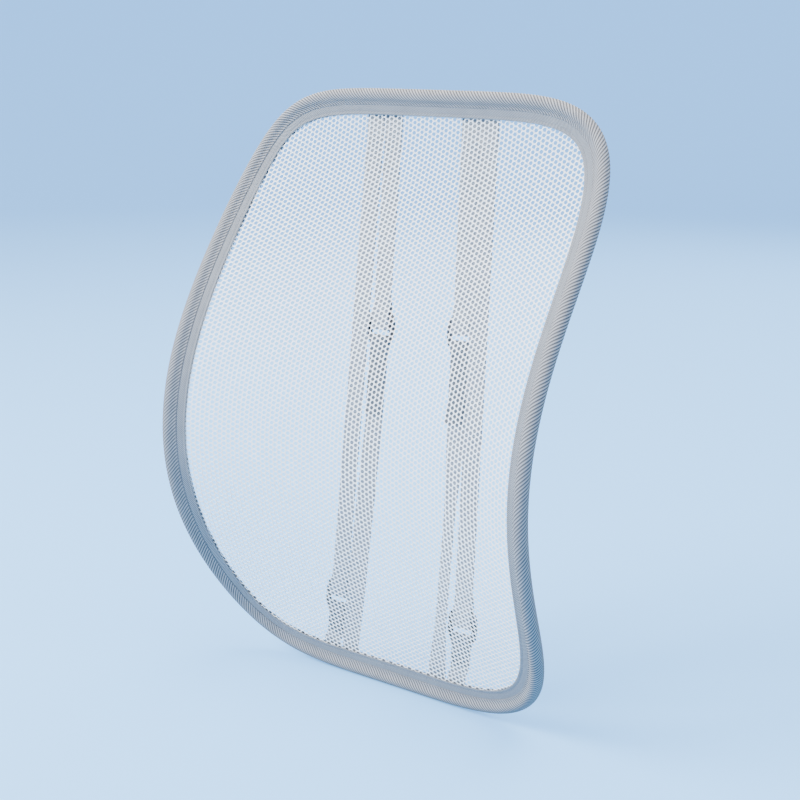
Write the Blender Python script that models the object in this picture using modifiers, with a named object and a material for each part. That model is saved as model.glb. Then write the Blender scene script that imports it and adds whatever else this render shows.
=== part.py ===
"""Mesh back support: a sprung wire loop in a woven casing, a stretched net, and two pairs of straps.

Frame of the model: +Z up, the sitter's side is -Y, and +X is on the right as seen from the front.
The origin is below the middle of the frame, level with the lowest point of the lower rail.
"""

import math

import bmesh
import bpy
import numpy as np
from mathutils import Matrix, Vector

MM = 0.001

# Wire loop, measured on the wire's centre line.
FRAME_HALF_WIDTH = 153 * MM
FRAME_HEIGHT = 400 * MM
WIDEST_LEVEL = 209 * MM
TOP_SQUARENESS = 5.4
BOTTOM_SQUARENESS = 4.3

# Side profile of the loop and of the net stretched in it.
TOP_SET_BACK = 41 * MM
LUMBAR_BULGE = 52 * MM
APEX_DROP = 26 * MM
SHOULDER_ROUNDING = 50 * MM
WING_FORWARD = 30 * MM
WING_FADE = 0.87

# Wire, its joint sleeve and the casing round them.
WIRE_RADIUS = 2.5 * MM
WIRE_END_GAP = 2 * MM
SLEEVE_LENGTH = 24 * MM
SLEEVE_WALL = 0.6 * MM
SLEEVE_STEPS = 16
SLEEVE_ROOM = 0.4 * MM
CASING_WALL = 0.8 * MM
CASING_SEGMENTS = 10

# Net and the hem tapes that sandwich its edge.
NET_THICKNESS = 0.8 * MM
TAPE_THICKNESS = 0.6 * MM
HEM_EDGE = 13.5 * MM
HEM_ROOM = 0.5 * MM
NET_RINGS = (0.82, 0.62, 0.42, 0.22)

# Straps: a pair on each side, each strap of two webs and one tri-glide slider.
WEB_WIDTH = 15 * MM
WEB_THICKNESS = 1.2 * MM
TOP_SPACE = 0.6 * MM
BOTTOM_SPACE = 2 * MM
TOP_OFFSET = -4 * MM
INNER_STRAP_TOP = 32.7 * MM
OUTER_STRAP_TOP = INNER_STRAP_TOP + WEB_WIDTH + TOP_SPACE
INNER_STRAP_BOTTOM = 39.3 * MM
OUTER_STRAP_BOTTOM = INNER_STRAP_BOTTOM + WEB_WIDTH + BOTTOM_SPACE
SLIDER_LEVELS = {
    "left_inner": 242 * MM,
    "left_outer": 48.5 * MM,
    "right_inner": 246 * MM,
    "right_outer": 51 * MM,
}
SLIDER_SET_BACK = 4.2 * MM
INNER_TAIL = 62 * MM
OUTER_TAIL = 27 * MM
SEWN_END_RISE = 21 * MM
SEWN_BEND = 3 * MM
SEWN_PAST_HEM = 1.5 * MM
CLEAR_OF_NET = 40 * MM
CLEAR_BOW = 0.4 * MM

# Tri-glide slider, in its own plane: across the web, and along it.
SLIDER_HEIGHT = 24 * MM
SLIDER_THICKNESS = 2.2 * MM
SLIDER_RAIL = 4 * MM
SLIDER_SQUARENESS = 3.2
SLIDER_POINTS = 32
UPPER_BAR = 3.9 * MM
LOWER_BAR = 5.5 * MM
CENTRE_BAR = 3 * MM
CENTRE_BAR_RAISE = 1.7 * MM
SLOT_SIDE_ROOM = 0.5 * MM
SLIDER_WIDTH = WEB_WIDTH + 2 * (SLOT_SIDE_ROOM + SLIDER_RAIL)

# How a web leaves a slider: straight past the bar's edge, clear of the plate, then layer on layer.
BAR_STRAIGHT = 2 * MM
PAST_PLATE = 0.6 * MM
LAYERS_MEET = 3.5 * MM
BEND_EASE = 0.1 * MM

GAP = 0.3 * MM
SEWING_ROOM = 0.8 * MM

# Steps used to measure and to divide the loop.
STATIONS = 96
LOOP_SAMPLES = 4001
DEPTH_SAMPLES = 721
SLOPE_STEP = 0.01 * MM
TURN_STEP = 0.002
PROBE = 1 * MM

# Values that follow from the sizes above.
SLEEVE_BORE = WIRE_RADIUS + GAP
SLEEVE_RADIUS = SLEEVE_BORE + SLEEVE_WALL
CASING_BORE = SLEEVE_RADIUS + SLEEVE_ROOM
CASING_RADIUS = CASING_BORE + CASING_WALL
TAPE_LIFT = NET_THICKNESS / 2 + GAP + TAPE_THICKNESS / 2
HEM_BACK = TAPE_LIFT + TAPE_THICKNESS / 2
HEM_START = SLEEVE_RADIUS + HEM_ROOM
HEM_RINGS = (HEM_START, (HEM_START + HEM_EDGE) / 2, HEM_EDGE)
WEB_LIFT = HEM_BACK + SEWING_ROOM + WEB_THICKNESS / 2
WEB_ROUND_BAR = SLIDER_THICKNESS / 2 + GAP + WEB_THICKNESS / 2
LAYER_OFFSET = WEB_THICKNESS / 2 + GAP / 2


def clear_scene():
    """Remove every object that the file opened with."""
    for item in list(bpy.data.objects):
        bpy.data.objects.remove(item, do_unlink=True)


def collection(name):
    """A new collection in the scene."""
    group = bpy.data.collections.new(name)
    bpy.context.scene.collection.children.link(group)
    return group


def material(name, colour, roughness, metallic=0.0):
    """A plain Principled material."""
    made = bpy.data.materials.new(name)
    made.use_nodes = True
    shader = made.node_tree.nodes["Principled BSDF"]
    shader.inputs["Base Color"].default_value = (*colour, 1.0)
    shader.inputs["Roughness"].default_value = roughness
    shader.inputs["Metallic"].default_value = metallic
    made.diffuse_color = (*colour, 1.0)
    return made


def depth(x, z):
    """How far back the loop and the net lie at a place, before the origin is moved."""
    level = 2 * z / FRAME_HEIGHT - 1
    profile = TOP_SET_BACK / 2 * level - LUMBAR_BULGE * (1 - level**2)
    profile -= APEX_DROP * (level**3 - level)
    profile -= SHOULDER_ROUNDING * (level**4 - level**2)
    wing = WING_FORWARD * (1 - WING_FADE * level**2) * (x / FRAME_HALF_WIDTH) ** 2
    return profile - wing


def slopes(x, z):
    """The surface's slope across and up."""
    across = (depth(x + SLOPE_STEP, z) - depth(x - SLOPE_STEP, z)) / (2 * SLOPE_STEP)
    up = (depth(x, z + SLOPE_STEP) - depth(x, z - SLOPE_STEP)) / (2 * SLOPE_STEP)
    return across, up


def front_normal(x, z):
    """The unit normal of the surface on the sitter's side."""
    across, up = slopes(x, z)
    return Vector((across, -1, up)).normalized()


def outline(turn):
    """A point of the flat outline, as x and z; turn is 0 at the middle of the lower rail."""
    across, up = math.sin(turn), -math.cos(turn)
    squareness = TOP_SQUARENESS if up > 0 else BOTTOM_SQUARENESS
    reach = FRAME_HEIGHT - WIDEST_LEVEL if up > 0 else WIDEST_LEVEL
    x = math.copysign(abs(across) ** (2 / squareness), across) * FRAME_HALF_WIDTH
    z = WIDEST_LEVEL + math.copysign(abs(up) ** (2 / squareness), up) * reach
    return x, z


def equal_turns(count):
    """Turns that step round the loop in equal lengths, starting at the lower rail's middle."""
    turns = np.linspace(0, 2 * math.pi, LOOP_SAMPLES)
    flat = [outline(turn) for turn in turns]
    points = np.array([(x, depth(x, z), z) for x, z in flat])
    lengths = np.concatenate([[0], np.cumsum(np.linalg.norm(np.diff(points, axis=0), axis=1))])
    return np.interp(np.arange(count) * lengths[-1] / count, lengths, turns), lengths[-1]


TURNS, LOOP_LENGTH = equal_turns(STATIONS)
LOOP_DEPTHS = [depth(*outline(turn)) for turn in np.linspace(0, 2 * math.pi, DEPTH_SAMPLES)]
ORIGIN_SHIFT = Vector((0, -(min(LOOP_DEPTHS) + max(LOOP_DEPTHS)) / 2, CASING_RADIUS))


def on_sheet(x, z, lift=0.0):
    """A point of the surface, raised along its front normal by lift."""
    return Vector((x, depth(x, z), z)) + lift * front_normal(x, z) + ORIGIN_SHIFT


def inset_outline(turn, inset):
    """The outline's point moved inwards by inset, measured along the surface."""
    x, z = outline(turn)
    before, after = outline(turn - TURN_STEP), outline(turn + TURN_STEP)
    along = Vector((after[0] - before[0], after[1] - before[1])).normalized()
    inward = Vector((-along.y, along.x))
    across, up = slopes(x, z)
    step = inset / math.hypot(1, across * inward.x + up * inward.y)
    return x + step * inward.x, z + step * inward.y


def rim_axes(turn):
    """The wire's centre at a turn, the inward direction in the surface, and the front normal."""
    x, z = outline(turn)
    centre = on_sheet(x, z)
    normal = front_normal(x, z)
    inner = on_sheet(*inset_outline(turn, PROBE))
    inward = inner - centre
    inward -= inward.dot(normal) * normal
    return centre, inward.normalized(), normal


def mesh_object(name, group, vertices, faces, finish):
    """A mesh object with its faces turned consistently outwards or along the surface."""
    mesh = bpy.data.meshes.new(name)
    work = bmesh.new()
    made = [work.verts.new(point) for point in vertices]
    for face in faces:
        work.faces.new([made[index] for index in face])
    bmesh.ops.recalc_face_normals(work, faces=work.faces)
    work.to_mesh(mesh)
    work.free()
    mesh.materials.append(finish)
    part = bpy.data.objects.new(name, mesh)
    group.objects.link(part)
    return part


def thicken(part, thickness):
    """Give an open surface an even wall, half to each side."""
    wall = part.modifiers.new("wall", "SOLIDIFY")
    wall.thickness = thickness
    wall.offset = 0
    wall.use_even_offset = True


def ring_faces(rings, count):
    """Quads between neighbouring rings that each have count points."""
    faces = []
    for ring in range(rings - 1):
        first, second = ring * count, (ring + 1) * count
        for index in range(count):
            following = (index + 1) % count
            faces.append((first + index, first + following, second + following, second + index))
    return faces


def smooth(part, angle=40):
    """Shade a part smooth, with edges kept sharp past an angle."""
    part.data.shade_smooth()
    part.data.set_sharp_from_angle(angle=math.radians(angle))


def frame_wire(group, finish):
    """The spring-steel loop, cut at the middle of the lower rail."""
    curve = bpy.data.curves.new("frame_wire", "CURVE")
    curve.dimensions = "3D"
    curve.bevel_depth = WIRE_RADIUS
    curve.bevel_resolution = 2
    curve.use_fill_caps = True
    inner_turns = list(TURNS[1:])
    end_turn = TURNS[1] * (WIRE_END_GAP / 2) / (LOOP_LENGTH / STATIONS)
    turns = [end_turn, *inner_turns, 2 * math.pi - end_turn]
    spline = curve.splines.new("POLY")
    spline.points.add(len(turns) - 1)
    for point, turn in zip(spline.points, turns):
        point.co = (*rim_axes(turn)[0], 1.0)
    curve.materials.append(finish)
    part = bpy.data.objects.new("frame_wire", curve)
    group.objects.link(part)


def wire_sleeve(group, finish):
    """The crimped tube that joins the wire's two ends."""
    half = SLEEVE_LENGTH / 2
    profile = [(SLEEVE_RADIUS, half), (SLEEVE_RADIUS, -half), (SLEEVE_BORE, -half), (SLEEVE_BORE, half)]
    mesh = bpy.data.meshes.new("wire_sleeve")
    mesh.from_pydata([(x, 0, z) for x, z in profile], [(0, 1), (1, 2), (2, 3), (3, 0)], [])
    mesh.materials.append(finish)
    part = bpy.data.objects.new("wire_sleeve", mesh)
    group.objects.link(part)
    turned = part.modifiers.new("turned", "SCREW")
    turned.steps = SLEEVE_STEPS
    turned.render_steps = SLEEVE_STEPS
    turned.use_merge_vertices = True
    turned.merge_threshold = 0.0001
    part.location = rim_axes(0.0)[0]
    part.rotation_euler = (0, math.radians(90), 0)


def rim_casing(group, finish):
    """The woven tube round the wire, open along its inner side where the hem goes in."""
    middle_radius = CASING_BORE + CASING_WALL / 2
    mouth = math.asin((HEM_BACK + 1.5 * GAP) / middle_radius)
    angles = np.linspace(mouth, 2 * math.pi - mouth, CASING_SEGMENTS + 1)
    vertices = []
    for angle in angles:
        for turn in TURNS:
            centre, inward, normal = rim_axes(turn)
            spoke = math.cos(angle) * inward + math.sin(angle) * normal
            vertices.append(centre + middle_radius * spoke)
    faces = ring_faces(len(angles), STATIONS)
    part = mesh_object("rim_casing", group, vertices, faces, finish)
    thicken(part, CASING_WALL)
    smooth(part)


def hem_tape(name, group, finish, side):
    """A flat tape along the net's edge; side is 1 on the sitter's side and -1 behind."""
    vertices = []
    for inset in HEM_RINGS:
        for turn in TURNS:
            vertices.append(on_sheet(*inset_outline(turn, inset), side * TAPE_LIFT))
    part = mesh_object(name, group, vertices, ring_faces(len(HEM_RINGS), STATIONS), finish)
    thicken(part, TAPE_THICKNESS)


def mesh_panel(group, finish):
    """The net, stretched across the loop and held between the hem tapes."""
    flat_rings = [[inset_outline(turn, inset) for turn in TURNS] for inset in HEM_RINGS]
    for share in NET_RINGS:
        edge = flat_rings[len(HEM_RINGS) - 1]
        flat_rings.append(
            [(x * share, WIDEST_LEVEL + (z - WIDEST_LEVEL) * share) for x, z in edge]
        )
    vertices = [on_sheet(x, z) for ring in flat_rings for x, z in ring]
    faces = ring_faces(len(flat_rings), STATIONS)
    last = (len(flat_rings) - 1) * STATIONS
    vertices.append(on_sheet(0, WIDEST_LEVEL))
    for index in range(STATIONS):
        faces.append((last + index, last + (index + 1) % STATIONS, len(vertices) - 1))
    part = mesh_object("mesh_panel", group, vertices, faces, finish)
    thicken(part, NET_THICKNESS)


def rail_level(x, top):
    """The height of the upper or lower rail's wire at a place across."""
    squareness = TOP_SQUARENESS if top else BOTTOM_SQUARENESS
    reach = FRAME_HEIGHT - WIDEST_LEVEL if top else -WIDEST_LEVEL
    return WIDEST_LEVEL + reach * (1 - (abs(x) / FRAME_HALF_WIDTH) ** squareness) ** (1 / squareness)


def sewn_points(x, top):
    """Where a web lies on the back of the hem, from the casing to just past the hem's edge."""
    away = -1 if top else 1
    insets = (CASING_RADIUS + 2 * GAP, HEM_EDGE / 2 + SEWN_BEND, HEM_EDGE + SEWN_PAST_HEM)
    return [on_sheet(x, rail_level(x, top) + away * inset, -WEB_LIFT) for inset in insets]


class Strap:
    """One strap: its line from rail to rail, and its slider's place and axes on that line."""

    def __init__(self, side, x_top, x_bottom, slider_level):
        self.sewn_top = sewn_points(side * x_top + TOP_OFFSET, True)
        self.sewn_bottom = sewn_points(side * x_bottom, False)
        line = self.sewn_top[-1] - self.sewn_bottom[-1]
        self.along = line.normalized()
        across = Vector((1, 0, 0))
        self.across = (across - across.dot(self.along) * self.along).normalized()
        self.back = self.along.cross(self.across)
        share = (slider_level + CASING_RADIUS - self.sewn_bottom[-1].z) / line.z
        self.middle = self.sewn_bottom[-1] + share * line + SLIDER_SET_BACK * self.back

    def at(self, along, back):
        """A point beside the slider, along the strap and behind its plane."""
        return self.middle + along * self.along + back * self.back

    def ribbon(self, name, group, path, finish):
        """A web that follows a path, as wide as the webbing, with its bends mitred."""
        half = WEB_WIDTH / 2 * self.across
        steps = [after - before for before, after in zip(path, path[1:])]
        normals = [self.across.cross(step).normalized() for step in steps]
        vertices = []
        for point, before, after in zip(path, normals[:1] + normals, normals + normals[-1:]):
            lift = WEB_THICKNESS / 2 * (before + after) / (1 + before.dot(after))
            vertices += [point - half - lift, point + half - lift, point + half + lift, point - half + lift]
        last = len(vertices)
        faces = ring_faces(len(path), 4)
        faces += [(0, 1, 2, 3), (last - 1, last - 2, last - 3, last - 4)]
        mesh_object(name, group, vertices, faces, finish)

    def around_bar(self, edge, way):
        """The path of a web round a bar, front to back; way is 1 where the bar is above its turn."""
        shoulder = (WEB_THICKNESS / 2, WEB_ROUND_BAR - BEND_EASE)
        turn = (WEB_THICKNESS / 2 + 2 * GAP, SLIDER_THICKNESS / 2 - GAP)
        front = [self.at(edge - way * rise, -lie) for rise, lie in (shoulder, turn)]
        back = [self.at(edge - way * rise, lie) for rise, lie in (turn, shoulder)]
        return front + back


BOTTOM_BAR_TOP = -SLIDER_HEIGHT / 2 + LOWER_BAR
TOP_BAR_BOTTOM = SLIDER_HEIGHT / 2 - UPPER_BAR
CENTRE_BAR_BOTTOM = CENTRE_BAR_RAISE - CENTRE_BAR / 2


def upper_web(strap, name, group, finish):
    """From the upper rail down to the slider, round its centre bar, and back up to its sewn end."""
    over = SLIDER_HEIGHT / 2 + PAST_PLATE
    meet = SLIDER_HEIGHT / 2 + LAYERS_MEET
    straight = CENTRE_BAR_BOTTOM + BAR_STRAIGHT
    run = strap.at(SEWN_END_RISE, -LAYER_OFFSET) - strap.sewn_top[-1]
    clear = strap.sewn_top[-1] + CLEAR_OF_NET * run.normalized() - CLEAR_BOW * strap.back
    path = [*strap.sewn_top, clear]
    path += [strap.at(SEWN_END_RISE, -LAYER_OFFSET), strap.at(meet, -LAYER_OFFSET)]
    path += [strap.at(over, -WEB_ROUND_BAR), strap.at(straight, -WEB_ROUND_BAR)]
    path += strap.around_bar(CENTRE_BAR_BOTTOM, 1)
    path += [strap.at(straight, WEB_ROUND_BAR), strap.at(over, WEB_ROUND_BAR)]
    path += [strap.at(meet, LAYER_OFFSET), strap.at(SEWN_END_RISE, LAYER_OFFSET)]
    strap.ribbon(name, group, path, finish)


def lower_web(strap, name, group, finish, tail):
    """From the lower rail up behind the slider, over its lower bar, and down in a free tail."""
    under = -SLIDER_HEIGHT / 2 - PAST_PLATE
    meet = -SLIDER_HEIGHT / 2 - LAYERS_MEET
    straight = BOTTOM_BAR_TOP - BAR_STRAIGHT
    path = [strap.at(-tail, -LAYER_OFFSET), strap.at(meet, -LAYER_OFFSET)]
    path += [strap.at(under, -WEB_ROUND_BAR), strap.at(straight, -WEB_ROUND_BAR)]
    path += strap.around_bar(BOTTOM_BAR_TOP, -1)
    path += [strap.at(straight, WEB_ROUND_BAR), strap.at(under, WEB_ROUND_BAR)]
    path += [strap.at(meet, LAYER_OFFSET), strap.at(-tail, LAYER_OFFSET)]
    path += list(reversed(strap.sewn_bottom))
    strap.ribbon(name, group, path, finish)


def rounded_outline(half_width, half_height, squareness, count):
    """Points of a rounded oblong."""
    points = []
    for index in range(count):
        turn = 2 * math.pi * (index + 0.5) / count
        across, up = math.cos(turn), math.sin(turn)
        x = math.copysign(abs(across) ** (2 / squareness), across) * half_width
        y = math.copysign(abs(up) ** (2 / squareness), up) * half_height
        points.append((x, y))
    return points


def box_outline(half_width, low, high):
    """Corners of a slot."""
    return [(-half_width, low), (half_width, low), (half_width, high), (-half_width, high)]


def tri_glide(strap, name, group, finish):
    """The moulded slider: an oblong plate with an upper and a lower slot."""
    curve = bpy.data.curves.new(name, "CURVE")
    curve.dimensions = "2D"
    curve.fill_mode = "BOTH"
    curve.extrude = SLIDER_THICKNESS / 2
    slot_half = WEB_WIDTH / 2 + SLOT_SIDE_ROOM
    loops = [
        rounded_outline(SLIDER_WIDTH / 2, SLIDER_HEIGHT / 2, SLIDER_SQUARENESS, SLIDER_POINTS),
        box_outline(slot_half, CENTRE_BAR_RAISE + CENTRE_BAR / 2, TOP_BAR_BOTTOM),
        box_outline(slot_half, BOTTOM_BAR_TOP, CENTRE_BAR_BOTTOM),
    ]
    for loop in loops:
        spline = curve.splines.new("POLY")
        spline.points.add(len(loop) - 1)
        for point, (x, y) in zip(spline.points, loop):
            point.co = (x, y, 0, 1)
        spline.use_cyclic_u = True
    curve.materials.append(finish)
    part = bpy.data.objects.new(name, curve)
    group.objects.link(part)
    axes = Matrix((strap.across, strap.along, -strap.back)).transposed().to_4x4()
    part.matrix_world = Matrix.Translation(strap.middle) @ axes


def build():
    """Make every piece of the back support."""
    clear_scene()
    group = collection("mesh_back_support")
    steel = material("spring_steel", (0.46, 0.47, 0.48), 0.35, 1.0)
    sleeve = material("sleeve_aluminium", (0.72, 0.73, 0.74), 0.4, 1.0)
    casing = material("casing_weave", (0.42, 0.46, 0.5), 0.75)
    tape = material("hem_tape", (0.5, 0.56, 0.62), 0.8)
    net = material("net_yarn", (0.84, 0.86, 0.89), 0.6)
    webbing = material("webbing", (0.6, 0.65, 0.7), 0.8)
    plastic = material("slider_plastic", (0.05, 0.05, 0.055), 0.35)
    frame_wire(group, steel)
    wire_sleeve(group, sleeve)
    rim_casing(group, casing)
    hem_tape("hem_tape_front", group, tape, 1)
    hem_tape("hem_tape_back", group, tape, -1)
    mesh_panel(group, net)
    strands = (
        ("inner", INNER_STRAP_TOP, INNER_STRAP_BOTTOM, INNER_TAIL),
        ("outer", OUTER_STRAP_TOP, OUTER_STRAP_BOTTOM, OUTER_TAIL),
    )
    for side_name, side in (("left", -1), ("right", 1)):
        for strand, x_top, x_bottom, tail in strands:
            ending = f"{side_name}_{strand}"
            strap = Strap(side, x_top, x_bottom, SLIDER_LEVELS[ending])
            upper_web(strap, f"upper_web_{ending}", group, webbing)
            lower_web(strap, f"lower_web_{ending}", group, webbing, tail)
            tri_glide(strap, f"tri_glide_{ending}", group, plastic)


build()
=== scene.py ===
"""Looks of the mesh back support: cloth, webbing, sliders, stage, light and camera.

Every length is in metres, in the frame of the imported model: +Z up, the sitter's side is -Y,
and +X is on the right as seen from the front.
"""

from __future__ import annotations

import logging
import math
from dataclasses import dataclass, field
from enum import Enum
from typing import Any, Sequence

import bmesh
import bpy
import numpy as np
from mathutils import Matrix, Vector


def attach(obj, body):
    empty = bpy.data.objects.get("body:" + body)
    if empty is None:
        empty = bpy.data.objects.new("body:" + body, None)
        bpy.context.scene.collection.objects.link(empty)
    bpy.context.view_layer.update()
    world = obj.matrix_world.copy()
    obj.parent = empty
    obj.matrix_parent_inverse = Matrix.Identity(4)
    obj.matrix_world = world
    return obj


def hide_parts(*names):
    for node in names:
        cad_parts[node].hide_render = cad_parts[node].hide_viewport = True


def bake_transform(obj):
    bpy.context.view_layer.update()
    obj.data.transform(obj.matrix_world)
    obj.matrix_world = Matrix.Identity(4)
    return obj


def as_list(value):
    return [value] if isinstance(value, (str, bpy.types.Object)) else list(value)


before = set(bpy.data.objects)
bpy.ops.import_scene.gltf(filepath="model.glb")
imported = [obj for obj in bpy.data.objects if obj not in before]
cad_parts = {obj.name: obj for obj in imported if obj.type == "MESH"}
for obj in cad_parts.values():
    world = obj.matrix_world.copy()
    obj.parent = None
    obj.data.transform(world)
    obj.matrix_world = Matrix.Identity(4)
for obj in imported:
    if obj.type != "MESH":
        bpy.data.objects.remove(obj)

MM = 0.001
TURN = 2 * math.pi
CLOTH_MAP = "cloth"
# The third value of cloth_place is each point's share of relief; where it is 0, the cloth's colour is
# darkened as painted shade.
CLOTH_PLACE = "cloth_place"
FRAME_BODY = "frame"
GAP = 0.3 * MM
NET_WELD = 0.04 * MM
MOULD_WELD = 0.005 * MM
SHARP_ANGLE = math.radians(38)

log = logging.getLogger("back_support")
Values = dict[Any, Any]


class Side(Enum):
    """Which side of the net a tape or a seam lies on."""

    FRONT = 1
    BACK = -1


class Hand(Enum):
    """Left or right, as seen from the front."""

    LEFT = -1
    RIGHT = 1


class Strand(Enum):
    """The strap of a pair that is nearer the middle, or nearer the side."""

    INNER = "inner"
    OUTER = "outer"


# ----------------------------------------------------------------------------- node trees


class TreeBuilder:
    """Short calls for filling a node tree."""

    def __init__(self, tree: bpy.types.NodeTree) -> None:
        """Work on a tree.

        Args:
            tree: the node tree to fill.
        """
        self.tree = tree

    def node(self, kind: str, inputs: Values | None = None, **settings: Any) -> bpy.types.Node:
        """Add a node.

        Args:
            kind: the node's type name.
            inputs: values or output sockets for its inputs, by name or by number.
            settings: properties of the node.

        Returns:
            The new node.
        """
        made = self.tree.nodes.new(kind)
        for name, value in settings.items():
            setattr(made, name, value)
        self.fill(made, inputs or {})
        return made

    def fill(self, node: bpy.types.Node, inputs: Values) -> None:
        """Set a node's inputs to values, or link them to output sockets."""
        for key, value in inputs.items():
            if isinstance(value, bpy.types.NodeSocket):
                self.tree.links.new(value, node.inputs[key])
            else:
                node.inputs[key].default_value = value

    def math(self, operation: str, first: Any, second: Any = 0.0, third: Any = 0.0) -> bpy.types.NodeSocket:
        """Add a Math node.

        Args:
            operation: the node's operation.
            first: its first value or socket.
            second: its second value or socket.
            third: its third value or socket, where the operation has one.

        Returns:
            The result's socket.
        """
        values = {0: first, 1: second, 2: third}
        return self.node("ShaderNodeMath", values, operation=operation).outputs[0]

    def wave(self, count: Any) -> bpy.types.NodeSocket:
        """A smooth wave from 0 to 1.

        Args:
            count: how many waves have passed, as a socket.

        Returns:
            The wave's socket.
        """
        sine = self.math("SINE", self.math("MULTIPLY", count, TURN))
        return self.math("MULTIPLY_ADD", sine, 0.5, 0.5)


@dataclass
class NodeGroup:
    """A node group with named sockets, and what is needed to fill it."""

    kind: str
    name: str
    inputs: Sequence[tuple[str, str]]
    outputs: Sequence[tuple[str, str]]
    tree: bpy.types.NodeTree = field(init=False)
    build: TreeBuilder = field(init=False)
    start: bpy.types.Node = field(init=False)
    end: bpy.types.Node = field(init=False)

    def __post_init__(self) -> None:
        """Make the empty group with its sockets."""
        self.tree = bpy.data.node_groups.new(self.name, self.kind)
        for label, socket in self.inputs:
            self.tree.interface.new_socket(label, in_out="INPUT", socket_type=socket)
        for label, socket in self.outputs:
            self.tree.interface.new_socket(label, in_out="OUTPUT", socket_type=socket)
        self.build = TreeBuilder(self.tree)
        self.start = self.build.node("NodeGroupInput")
        self.end = self.build.node("NodeGroupOutput")

    def given(self, label: str) -> bpy.types.NodeSocket:
        """The socket of one of the group's inputs."""
        return self.start.outputs[label]

    def give(self, label: str, socket: bpy.types.NodeSocket) -> None:
        """Link a socket to one of the group's outputs."""
        self.tree.links.new(socket, self.end.inputs[label])


FLOAT, VECTOR, GEOMETRY = "NodeSocketFloat", "NodeSocketVector", "NodeSocketGeometry"
MATERIAL = "NodeSocketMaterial"


def geometry_group(name: str, sizes: Sequence[str]) -> NodeGroup:
    """A Geometry Nodes group that takes and gives a geometry, and takes a material.

    Args:
        name: the group's name.
        sizes: the names of its number inputs.

    Returns:
        The group, to be filled.
    """
    inputs = [("Geometry", GEOMETRY)] + [(size, FLOAT) for size in sizes] + [("Material", MATERIAL)]
    return NodeGroup("GeometryNodeTree", name, inputs, [("Geometry", GEOMETRY)])


def close_geometry(group: NodeGroup, shape: bpy.types.NodeSocket) -> None:
    """End a Geometry Nodes group: instances made real, smooth faces and the material.

    Args:
        group: the group.
        shape: the geometry to give out.
    """
    real = group.build.node("GeometryNodeRealizeInstances", {"Geometry": shape}).outputs[0]
    smooth = group.build.node("GeometryNodeSetShadeSmooth", {"Geometry": real}).outputs[0]
    values = {"Geometry": smooth, "Material": group.given("Material")}
    dressed = group.build.node("GeometryNodeSetMaterial", values)
    group.give("Geometry", dressed.outputs[0])


def net_cell_group() -> NodeGroup:
    """The group that repeats one mesh of a net, a hole ringed by yarn, on every point of a flat cut."""
    group = geometry_group("Net of holes", ("Column spacing", "Row pitch", "Hole share", "Half thickness"))
    build = group.build
    column, row = group.given("Column spacing"), group.given("Row pitch")
    share, half = group.given("Hole share"), group.given("Half thickness")
    ring = build.node("GeometryNodeMeshCircle", {"Vertices": 6, "Radius": 1.0}).outputs[0]
    wide = build.math("MULTIPLY", build.math("MULTIPLY", column, 2 / 3), share)
    high = build.math("MULTIPLY", build.math("DIVIDE", row, math.sqrt(3)), share)
    size = build.node("ShaderNodeCombineXYZ", {0: wide, 1: high, 2: 1.0}).outputs[0]
    hole = build.node("GeometryNodeTransform", {"Geometry": ring, "Scale": size}).outputs[0]
    spread = build.math("SUBTRACT", build.math("DIVIDE", 1.0, share), 1.0)
    place = build.node("GeometryNodeInputPosition").outputs[0]
    outwards = build.node("ShaderNodeVectorMath", {0: place, 3: spread}, operation="SCALE").outputs[0]
    layers = []
    for way in (1.0, -1.0):
        lift = build.node("ShaderNodeCombineXYZ", {2: build.math("MULTIPLY", half, way)}).outputs[0]
        offset = build.node("ShaderNodeVectorMath", {0: outwards, 1: lift}, operation="ADD").outputs[0]
        grown = build.node("GeometryNodeExtrudeMesh", {"Mesh": hole, "Offset": offset}, mode="EDGES")
        layers.append(grown.outputs[0])
    join = build.node("GeometryNodeJoinGeometry")
    for layer in layers:
        group.tree.links.new(layer, join.inputs[0])
    repeated = build.node(
        "GeometryNodeInstanceOnPoints", {"Points": group.given("Geometry"), "Instance": join.outputs[0]}
    ).outputs[0]
    real = build.node("GeometryNodeRealizeInstances", {"Geometry": repeated}).outputs[0]
    welded = build.node("GeometryNodeMergeByDistance", {"Geometry": real, "Distance": NET_WELD})
    close_geometry(group, welded.outputs[0])
    return group


def stitch_group() -> NodeGroup:
    """The group that lays a row of rounded stitches along every line of a mesh."""
    group = geometry_group("Row of stitches", ("Pitch", "Stitch length", "Thread radius"))
    build = group.build
    line = build.node("GeometryNodeMeshToCurve", {"Mesh": group.given("Geometry")}).outputs[0]
    spaced = build.node(
        "GeometryNodeResampleCurve", {"Curve": line, "Length": group.given("Pitch")}, mode="LENGTH"
    ).outputs[0]
    ball = build.node("GeometryNodeMeshUVSphere", {"Segments": 6, "Rings": 4, "Radius": 1.0}).outputs[0]
    half = build.math("MULTIPLY", group.given("Stitch length"), 0.5)
    radius = group.given("Thread radius")
    size = build.node("ShaderNodeCombineXYZ", {0: radius, 1: radius, 2: half}).outputs[0]
    stitch = build.node("GeometryNodeTransform", {"Geometry": ball, "Scale": size}).outputs[0]
    along = build.node("GeometryNodeInputTangent").outputs[0]
    turned = build.node("FunctionNodeAlignRotationToVector", {"Vector": along}, axis="Z").outputs[0]
    laid = build.node(
        "GeometryNodeInstanceOnPoints", {"Points": spaced, "Instance": stitch, "Rotation": turned}
    ).outputs[0]
    close_geometry(group, laid)
    return group


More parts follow.
